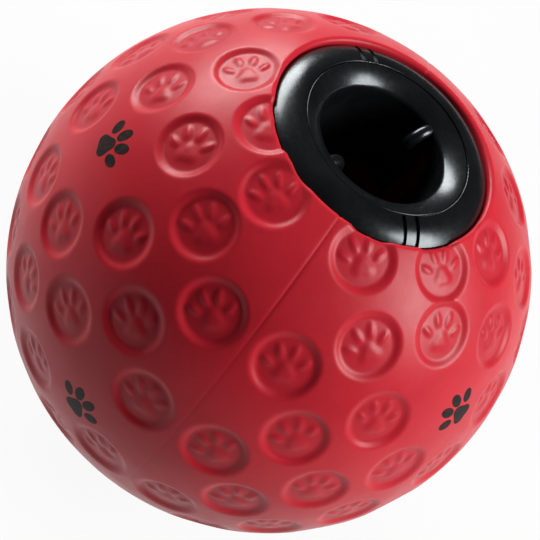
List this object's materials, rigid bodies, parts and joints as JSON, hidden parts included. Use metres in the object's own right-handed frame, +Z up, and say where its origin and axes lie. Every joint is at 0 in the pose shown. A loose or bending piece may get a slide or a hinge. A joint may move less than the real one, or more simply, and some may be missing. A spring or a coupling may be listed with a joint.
{
  "type": "treat dispensing ball",
  "caption": "Hollow soft ball with dished paw-print surface and a hard black mouth ring; the lift-out throat sleeve has curved prongs that let dry treats drop out as it rolls.",
  "frame": {"origin": "the point where the ball stands on the floor, under its centre", "axes": "+Z up along the mouth's axis, out of the mouth; the seam lies in the YZ plane, so +X is the right half shell"},
  "size_m": [0.139, 0.14, 0.1344],
  "materials": {
    "red_vinyl": "satin",
    "black_plastic": "gloss"
  },
  "bodies": {
    "ball": {"left_half_shell": "red_vinyl", "right_half_shell": "red_vinyl"},
    "mouth": {"mouth_ring": "black_plastic", "retaining_ring": "black_plastic"},
    "sleeve": {"throat_sleeve": "black_plastic"}
  },
  "joints": [
    {"name": "ring_turn", "type": "hinge", "parent": "ball", "child": "mouth", "pos_m": [0, 0, 0.13441], "axis": [0, 0, 1], "continuous": true},
    {"name": "sleeve_lift", "type": "slide", "parent": "mouth", "child": "sleeve", "axis": [0, 0, 1], "range_m": [0, 0.032]}
  ]
}
